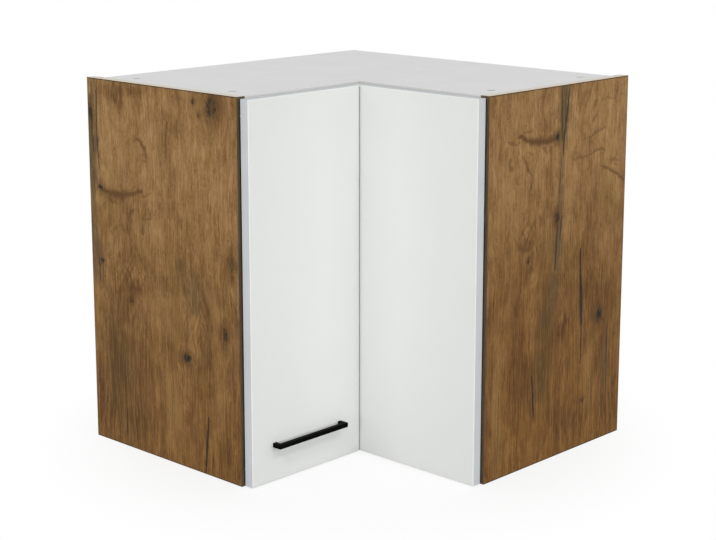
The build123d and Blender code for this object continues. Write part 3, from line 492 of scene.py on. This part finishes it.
RIGHT_MARKS = {
    "foot": (560, 110, (0.62, 0.5, 0.27, 1.0)),
    "pale": [
        ((28, 130), (22, 150), 0.6),
        ((262, 120), (22, 80), 0.4),
        ((200, 420), (24, 60), 0.4),
        ((60, 420), (40, 60), 0.3),
        ((300, 330), (40, 50), 0.35),
    ],
    "knots": [
        ((165, 508), (4.5, 6), 0.95),
        ((167, 384), (6, 8), 0.95),
        ((98, 328), (3.5, 3.5), 0.85),
        ((284, 210), (8, 10), 1.0),
        ((247, 76), (4, 2.5), 0.75),
    ],
    "rust": [
        ((118, 507), (52, 10), 0.5),
        ((88, 352), (30, 14), 0.65),
        ((191, 197), (24, 20), 1.2),
        ((78, 208), (26, 40), 0.6),
        ((312, 234), (26, 44), 0.6),
        ((92, 130), (40, 120), 0.6),
        ((190, 50), (60, 60), 0.5),
        ((225, 78), (38, 14), 0.4),
        ((150, 240), (160, 110), 0.22),
        ((240, 330), (60, 20), 0.35),
    ],
    "grey": [
        ((180, 552), (17, 84), 1.6),
        ((176, 440), (9, 70), 0.9),
        ((171, 342), (16, 62), 1.5),
        ((160, 270), (20, 40), 0.7),
        ((303, 120), (14, 80), 0.7),
    ],
    "ash": [
        ((145, 226), (30, 74), 0.9),
        ((134, 140), (30, 84), 1.0),
        ((168, 256), (12, 16), 0.6),
        ((306, 120), (15, 76), 0.5),
        ((104, 313), (14, 10), 0.65),
    ],
    "smears": [
        ((71, 519), (167, 507), -8, 8.5, 0.9),
        ((98, 505), (160, 510), -3, 8.0, 0.5),
        ((77, 523), (101, 522), 1, 3.0, 0.5),
        ((44, 514), (67, 507), -1, 3.8, 0.5),
        ((126, 497), (139, 484), 2, 5.0, 0.55),
        ((149, 496), (148, 486), 0, 6.0, 0.5),
        ((53, 488), (47, 479), 0, 4.0, 0.5),
        ((48, 481), (59, 469), -1, 4.6, 0.6),
        ((83, 487), (103, 456), -2, 4.4, 0.65),
        ((107, 454), (99, 433), 0, 3.4, 0.5),
        ((71, 502), (70, 491), 0, 3.0, 0.45),
        ((67, 457), (67, 447), 0, 4.2, 0.5),
        ((92, 492), (107, 486), 0, 3.0, 0.45),
        ((213, 471), (251, 471), -2, 3.2, 0.5),
        ((249, 470), (288, 473), 4, 3.8, 0.6),
        ((245, 497), (286, 509), 1, 3.2, 0.6),
        ((279, 449), (343, 417), 3, 5.0, 0.7),
        ((298, 457), (326, 452), 1, 4.0, 0.4),
        ((312, 447), (323, 446), 0, 3.0, 0.4),
        ((249, 581), (235, 549), 1, 3.6, 0.45),
        ((267, 563), (253, 541), 1, 3.6, 0.5),
        ((266, 532), (251, 517), -2, 4.0, 0.5),
        ((283, 555), (309, 548), 4, 3.2, 0.45),
        ((309, 548), (317, 567), 0, 2.8, 0.4),
        ((115, 387), (94, 353), -4, 3.2, 0.5),
        ((82, 376), (90, 350), 3, 3.2, 0.5),
        ((107, 365), (99, 346), -1, 3.2, 0.5),
        ((63, 372), (79, 349), -3, 3.0, 0.45),
        ((74, 350), (104, 345), -2, 7.0, 0.6),
        ((165, 291), (177, 275), 0, 3.0, 0.5),
        ((177, 275), (188, 289), 0, 3.0, 0.5),
        ((155, 256), (182, 261), -4, 3.0, 0.5),
        ((40, 227), (31, 212), 0, 3.2, 0.4),
        ((75, 141), (70, 109), 0, 3.4, 0.4),
        ((226, 78), (247, 76), -2, 3.4, 0.55),
        ((197, 184), (219, 236), 5, 2.6, 0.4),
        ((179, 153), (199, 32), 3, 2.8, 0.35),
    ],
    "cracks": [
        ((192, 583), (181, 500), 2.8, 0.85),
        ((172, 583), (176, 500), 2.6, 0.75),
        ((183, 575), (182, 520), 1.6, 0.5),
        ((180, 516), (180, 478), 3.2, 0.85),
        ((176, 478), (170, 391), 1.7, 0.5),
        ((169, 381), (165, 300), 3.0, 0.8),
        ((179, 383), (176, 348), 3.0, 0.8),
        ((230, 324), (232, 270), 4.5, 0.9),
        ((233, 280), (237, 200), 7.5, 1.0),
        ((237, 208), (238, 138), 3.4, 0.85),
        ((307, 190), (309, 68), 1.8, 0.8),
        ((300, 72), (294, 2), 1.8, 0.7),
        ((113, 144), (119, 77), 3.4, 1.0),
        ((291, 202), (298, 194), 2.0, 0.6),
    ],
    "flames": [
        ((171, 270), (50, 80), 2.2),
        ((176, 30), (60, 60), 1.6),
        ((190, 130), (50, 80), 3.0),
        ((95, 380), (40, 40), 1.5),
    ],
}


def end_panel(name, marks):
    """The finish of one end panel: foil outside, melamine inside, bands and raw chipboard."""
    finish = Finish(bpy.data.materials.new(name))
    x, y, z = finish.place()
    if name.startswith("left"):
        across, depth = DEPTH - x, y + WIDTH
    else:
        across, depth = y + DEPTH, WIDTH - x
    from_middle = (z - HEIGHT / 2).size()
    oak, tone = old_oak(finish, across, z, marks)
    rim = from_middle.rise(HEIGHT / 2 - 1.9, HEIGHT / 2 - 1.1)
    oak = finish.blend(rim * 0.85, oak, paint(54, 38, 20))
    inside = depth.rise(BOARD - 0.4, BOARD - 0.2)
    outside = depth.rise(FOIL + 0.15, FOIL)
    banded = from_middle.rise(HEIGHT / 2 - 0.2, HEIGHT / 2 - 0.05)
    core = finish.blend(banded, chipboard(finish, x, y, z), paint(232, 224, 208))
    white_face = melamine(finish, x, y, z, paint(236, 236, 233), paint(226, 226, 223))
    colour = finish.blend(inside, core, white_face)
    colour = finish.blend(outside, colour, oak)
    fine = finish.noise(x / 0.5, y / 0.5, z / 0.5, 1.0)
    finish.shader({"Base Color": colour, "Roughness": 0.66 - tone * outside * 0.2 - inside * 0.14})
    finish.shader({"Specular IOR Level": 0.16})
    finish.bumps(tone * outside + fine * 0.1, 0.35)
    return finish


dress(end_panel("left_oak", LEFT_MARKS), "left_side_panel")
dress(end_panel("right_oak", RIGHT_MARKS), "right_side_panel")

# ---- front bands of the end panels --------------------------------------------------------------
# Plastic edging, 1 mm, brown with a faint upright grain, glued along the front edges of the end
# panels, from foot to top. Its dark brown is partly the edging's own colour and partly painted
# shade of the narrow gap behind the door leaves.
edging = Finish(bpy.data.materials.new("dark_edging_painted_shade"))
x, y, z = edging.place()
grain = edging.noise(x / 1.4, y / 1.4, z / 30, 3.0)
# Both browns are darkened with painted shade of the gap behind the door leaves.
brown = edging.blend(grain.rise(0.3, 0.7), paint(60, 46, 28), paint(88, 70, 45))
edging.shader({"Base Color": brown, "Roughness": 0.5 + grain * 0.15})
edging.bumps(grain, 0.1)
dress(edging, "left_front_band", "right_front_band")


# ---- top, bottom, shelf and rear batten ---------------------------------------------------------
# Chipboard boards, 16 mm, cut to an L, with white melamine on their broad faces and raw edges at
# the back. The batten in the rear corner is coated all round.
def board_finish(name, board):
    """White on a board's two broad faces and raw chipboard between them."""
    finish = Finish(bpy.data.materials.new(name))
    x, y, z = finish.place()
    low, high = corners_of(board)
    white_face = melamine(finish, x, y, z, paint(233, 233, 233), paint(222, 222, 222))
    edge = (z - (low[2] + high[2]) / 2).size().rise(BOARD / 2 - 0.1, BOARD / 2 - 0.2)
    colour = finish.blend(edge, white_face, chipboard(finish, x, y, z))
    fine = finish.noise(x / 0.6, y / 0.6, z / 0.6, 2.0)
    finish.shader({"Base Color": colour, "Roughness": 0.5 + edge * 0.3 + fine * 0.08})
    finish.bumps(fine, 0.04)
    return finish


dress(board_finish("top_white", "top_panel"), "top_panel")
dress(board_finish("bottom_white", "bottom_panel"), "bottom_panel")
dress(board_finish("shelf_white", "shelf"), "shelf")

batten = Finish(bpy.data.materials.new("batten_white"))
x, y, z = batten.place()
coat = melamine(batten, x, y, z, paint(234, 234, 231), paint(222, 222, 219))
batten.shader({"Base Color": coat, "Roughness": 0.5})
batten.bumps(batten.noise(x / 0.6, y / 0.6, z / 0.6), 0.04)
dress(batten, "corner_post")

# ---- front bands of the boards ------------------------------------------------------------------
# Pale grey plastic edging, ironed on the front edges of the top, the bottom and the shelf, along
# both legs of the L.
pale_edging = Finish(bpy.data.materials.new("pale_edging"))
x, y, z = pale_edging.place()
wave = pale_edging.noise(x / 3, y / 3, z / 3, 3.0)
pale = pale_edging.blend(wave.rise(0.3, 0.7), paint(208, 208, 206), paint(216, 216, 214))
pale_edging.shader({"Base Color": pale, "Roughness": 0.4 + wave * 0.15})
pale_edging.bumps(wave, 0.05)
dress(pale_edging, "board_bands", "shelf_bands")


# ---- cams, bolts and dowels ---------------------------------------------------------------------
# Cams of cast zinc that lie in bores of the boards and pull on zinc-plated steel bolts, which are
# screwed into the end panels. Plain beech dowels beside them keep the boards in line.
def metal(name, dark, light, roughness, pit, relief):
    """Bare or plated metal with a soft change of tone and small pits of the given size in mm."""
    finish = Finish(bpy.data.materials.new(name))
    x, y, z = finish.place()
    cloud = finish.noise(x / 6, y / 6, z / 6, 3.0).rise(0.3, 0.7)
    pits = finish.noise(x / pit, y / pit, z / pit, 2.0)
    finish.shader({"Base Color": finish.blend(cloud, dark, light), "Metallic": 1.0})
    finish.shader({"Roughness": pits * 0.18 + roughness - 0.09})
    finish.bumps(pits, relief)
    return finish


cast_zinc = metal(
    "cast_zinc", paint(176, 177, 178), paint(206, 207, 208), roughness=0.48, pit=0.5, relief=0.08
)
dress(cast_zinc, "cam_housings")
bolt_zinc = metal(
    "bolt_zinc", paint(176, 176, 170), paint(206, 206, 200), roughness=0.34, pit=0.8, relief=0.03
)
dress(bolt_zinc, "cam_bolts")

beech = Finish(bpy.data.materials.new("beech"))
x, y, z = beech.place()
rays = beech.noise(x / 2.5, y / 2.5, z / 2.5, 3.0)
wood = beech.blend(rays.rise(0.3, 0.7), paint(196, 158, 112), paint(222, 188, 144))
beech.shader({"Base Color": wood, "Roughness": 0.7})
beech.bumps(rays, 0.1)
dress(beech, "wood_dowels")


# ---- back panels --------------------------------------------------------------------------------
# Thin hardboard, 3 mm, pushed into grooves of the end panels: white lacquer towards the inside of
# the cabinet, bare brown fibre towards the wall.
BACK_FACE = corners_of("left_back_panel")[1][0]


def back_finish(name, from_wall):
    """The finish of one back panel, by its distance from the wall."""
    finish = Finish(bpy.data.materials.new(name))
    x, y, z = finish.place()
    depth = from_wall(x, y)
    fibre = finish.noise(x / 2, y / 2, z / 2, 4.0)
    fluff = finish.noise(x / 0.6, y / 0.6, z / 0.6, 2.0)
    stain = finish.noise(x / 80, y / 80, z / 80, 2.0)
    bare = finish.blend(fibre.rise(0.3, 0.7), paint(134, 100, 67), paint(151, 116, 81))
    bare = finish.blend(fluff.rise(0.55, 0.7) * 0.4, bare, paint(108, 78, 49))
    bare = finish.blend(stain.rise(0.4, 0.65) * 0.25, bare, paint(126, 92, 60))
    white_face = melamine(finish, x, y, z, paint(236, 236, 234), paint(226, 226, 224))
    inside = depth.rise(BACK_FACE - 0.3, BACK_FACE - 0.1)
    finish.shader({"Base Color": finish.blend(inside, bare, white_face)})
    finish.shader({"Roughness": 0.85 - inside * 0.4})
    finish.bumps(fluff, 0.03)
    return finish


dress(back_finish("left_back", lambda x, y: x), "left_back_panel")
dress(back_finish("right_back", lambda x, y: 0.0 - y), "right_back_panel")

# ---- shelf pins ---------------------------------------------------------------------------------
# Spoon pins of nickel-plated steel, 5 mm thick, pushed into the end panels and the batten. The
# shelf lies on their flat ends.
pin_nickel = metal(
    "pin_nickel", paint(186, 184, 178), paint(214, 212, 206), roughness=0.28, pit=0.9, relief=0.02
)
dress(pin_nickel, "shelf_pins")


# ---- wall hangers -------------------------------------------------------------------------------
# White moulded shells, pegged into the end panels. In each lie a plated steel hook, which hangs on
# the wall, and two setting screws that raise it and draw it in.
def moulded(name, colour, shade, roughness):
    """Moulded plastic or rubber with a fine spark-eroded texture."""
    finish = Finish(bpy.data.materials.new(name))
    x, y, z = finish.place()
    texture = finish.noise(x / 0.4, y / 0.4, z / 0.4, 2.0)
    cloud = finish.noise(x / 15, y / 15, z / 15, 2.0).rise(0.3, 0.7)
    finish.shader({"Base Color": finish.blend(cloud, colour, shade)})
    finish.shader({"Roughness": texture * 0.2 + roughness - 0.1})
    finish.bumps(texture, 0.05)
    return finish


plastic = moulded("hanger_white", paint(234, 234, 230), paint(226, 226, 221), roughness=0.45)
dress(plastic, "left_hanger", "right_hanger")
hook_zinc = metal(
    "hook_zinc", paint(164, 166, 168), paint(196, 198, 200), roughness=0.32, pit=1.2, relief=0.03
)
dress(hook_zinc, "left_hook", "right_hook")
screw_zinc = metal(
    "screw_zinc", paint(176, 177, 174), paint(208, 209, 206), roughness=0.3, pit=0.7, relief=0.02
)
dress(screw_zinc, "hanger_setting_screws")


# ---- door leaves --------------------------------------------------------------------------------
# Fibreboard, 16 mm, with a satin white foil round the front and its edges' rounding, a pale grey
# band on the edges and melamine behind; bores for the cups are raw inside.
low, high = corners_of("left_leaf")
LEAF = round(high[0] - low[0], 2)
WRAP = 1.5  # how far the foil goes round the edges


def leaf_finish(name, leaf):
    """The finish of one leaf, by the depth from its back and the place along its width."""
    finish = Finish(bpy.data.materials.new(name))
    x, y, z = finish.place()
    low, high = corners_of(leaf)
    if leaf == "left_leaf":
        depth, along, axis = x - low[0], y, 1
    else:
        depth, along, axis = high[1] - y, x, 0
    cloud = finish.noise(x / 90, y / 90, z / 90, 2.0).rise(0.3, 0.7)
    foil = finish.blend(cloud, paint(234, 236, 233), paint(235, 237, 234))
    behind = melamine(finish, x, y, z, paint(236, 236, 234), paint(228, 228, 226))
    band = finish.blend(cloud, paint(205, 209, 212), paint(211, 215, 218))
    seam = (depth - (LEAF - WRAP - 0.15)).size().rise(0.3, 0.1)
    side = depth.rise(0.15, 0.3) * depth.rise(LEAF - WRAP + 0.05, LEAF - WRAP - 0.05)
    colour = finish.blend(depth.rise(0.1, 0.3), behind, foil)
    colour = finish.blend(side, colour, band)
    colour = finish.blend(seam * 0.5, colour, paint(150, 150, 150))
    raw = side
    for place, which in ((along, axis), (z, 2)):
        half = (high[which] - low[which]) / 2
        from_middle = (place - (low[which] + high[which]) / 2).size()
        raw = raw * from_middle.rise(half - 0.1, half - 0.4)
    colour = finish.blend(raw, colour, paint(186, 150, 106))
    skin = finish.noise(x / 1.1, y / 1.1, z / 1.1, 2.0)
    finish.shader({"Base Color": colour, "Roughness": skin * 0.1 + 0.42 + raw * 0.4})
    finish.shader({"Specular IOR Level": 0.16})
    finish.bumps(skin, 0.03)
    return finish


dress(leaf_finish("left_leaf_white", "left_leaf"), "left_leaf")
dress(leaf_finish("right_leaf_white", "right_leaf"), "right_leaf")

# ---- bumpers ------------------------------------------------------------------------------------
# Clear soft domes, stuck behind the left leaf where it meets the end panel, so that the door shuts
# without a knock.
bumper = moulded("bumper_clear", paint(226, 228, 226), paint(218, 221, 219), roughness=0.3)
dress(bumper, "door_bumpers")

# ---- handle -------------------------------------------------------------------------------------
# A square steel bar bent to a U, 7 mm thick, with a fine matt black powder coat; two screws hold it
# from behind the leaf.
low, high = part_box("handle")
BAR = 0.007
ROUNDED = 0.001
EASED = 0.0004
HAIR = 1e-6
bar = bmesh.new()
bmesh.ops.create_cube(bar, size=1.0)
bmesh.ops.scale(bar, vec=(BAR, high.y - low.y, BAR), verts=bar.verts)
middle = Vector((high.x - BAR / 2, (low.y + high.y) / 2, (low.z + high.z) / 2))
bmesh.ops.translate(bar, vec=middle, verts=bar.verts)
for cut in (low.y + BAR, high.y - BAR):
    everything = bar.verts[:] + bar.edges[:] + bar.faces[:]
    bmesh.ops.bisect_plane(bar, geom=everything, dist=HAIR, plane_co=(0, cut, 0), plane_no=(0, 1, 0))
feet = []
for face in bar.faces:
    centre = face.calc_center_median()
    if face.normal.x < -0.9 and abs(centre.y - middle.y) > BAR:
        feet.append(face)
grown = bmesh.ops.extrude_discrete_faces(bar, faces=feet)
for face in grown["faces"]:
    bmesh.ops.translate(bar, vec=(low.x - face.calc_center_median().x, 0, 0), verts=face.verts)
corners = [
    edge
    for edge in bar.edges
    if abs(edge.verts[0].co.x - high.x) < HAIR
    and abs(edge.verts[1].co.x - high.x) < HAIR
    and abs(edge.verts[0].co.z - edge.verts[1].co.z) > BAR / 2
    and min(abs(edge.verts[0].co.y - low.y), abs(edge.verts[0].co.y - high.y)) < HAIR
]
bmesh.ops.bevel(
    bar, geom=corners, offset=ROUNDED, affect="EDGES", segments=4, profile=0.5, material=-1
)
sharp = [
    edge
    for edge in bar.edges
    if len(edge.link_faces) == 2
    and edge.calc_face_angle() > 1.2
    and not all(abs(v.co.x - low.x) < HAIR for v in edge.verts)
]
bmesh.ops.bevel(
    bar, geom=sharp, offset=EASED, affect="EDGES", segments=2, profile=0.5, material=-1
)
bar_mesh = bpy.data.meshes.new("bar_handle")
bar.to_mesh(bar_mesh)
bar.free()
bar_handle = bpy.data.objects.new("bar_handle", bar_mesh)
scene.collection.objects.link(bar_handle)
powder = Finish(bpy.data.materials.new("powder_black"))
x, y, z = powder.place()
peel = powder.noise(x / 0.9, y / 0.9, z / 0.9, 2.0)
coat = powder.blend(peel.rise(0.3, 0.7), paint(3, 3, 3), paint(8, 8, 8))
powder.shader({"Base Color": coat, "Roughness": peel * 0.2 + 0.36, "Specular IOR Level": 0.02})
powder.bumps(peel, 0.05)
bar_mesh.materials.append(powder.holder)
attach(bar_handle, "left_door")
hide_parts("handle")
dress(screw_zinc, "handle_screws")

# ---- hinges -------------------------------------------------------------------------------------
# Cups and arms of pressed steel, nickel plated and smooth, with links and pivot pins of a little
# darker steel between them. Zinc-plated screws hold the cups in the leaves and the plates down.
hinge_nickel = metal(
    "hinge_nickel", paint(188, 186, 180), paint(218, 216, 210), roughness=0.32, pit=1.1, relief=0.03
)
link_steel = metal(
    "link_steel", paint(150, 149, 144), paint(178, 177, 172), roughness=0.3, pit=0.9, relief=0.03
)
for level in ("lower", "upper"):
    for piece in ("hinge_cup", "fold_cup", "hinge_plate", "fold_plate", "hinge_arm", "fold_arm"):
        dress(hinge_nickel, f"{level}_{piece}")
    dress(link_steel, f"{level}_inner_link", f"{level}_outer_links")
dress(link_steel, "arm_pivot_pins", "link_pivot_pins", "cup_pivot_pins", "fold_pivot_pins")
dress(screw_zinc, "hinge_cup_screws", "fold_cup_screws", "hinge_plate_screws", "fold_plate_screws")
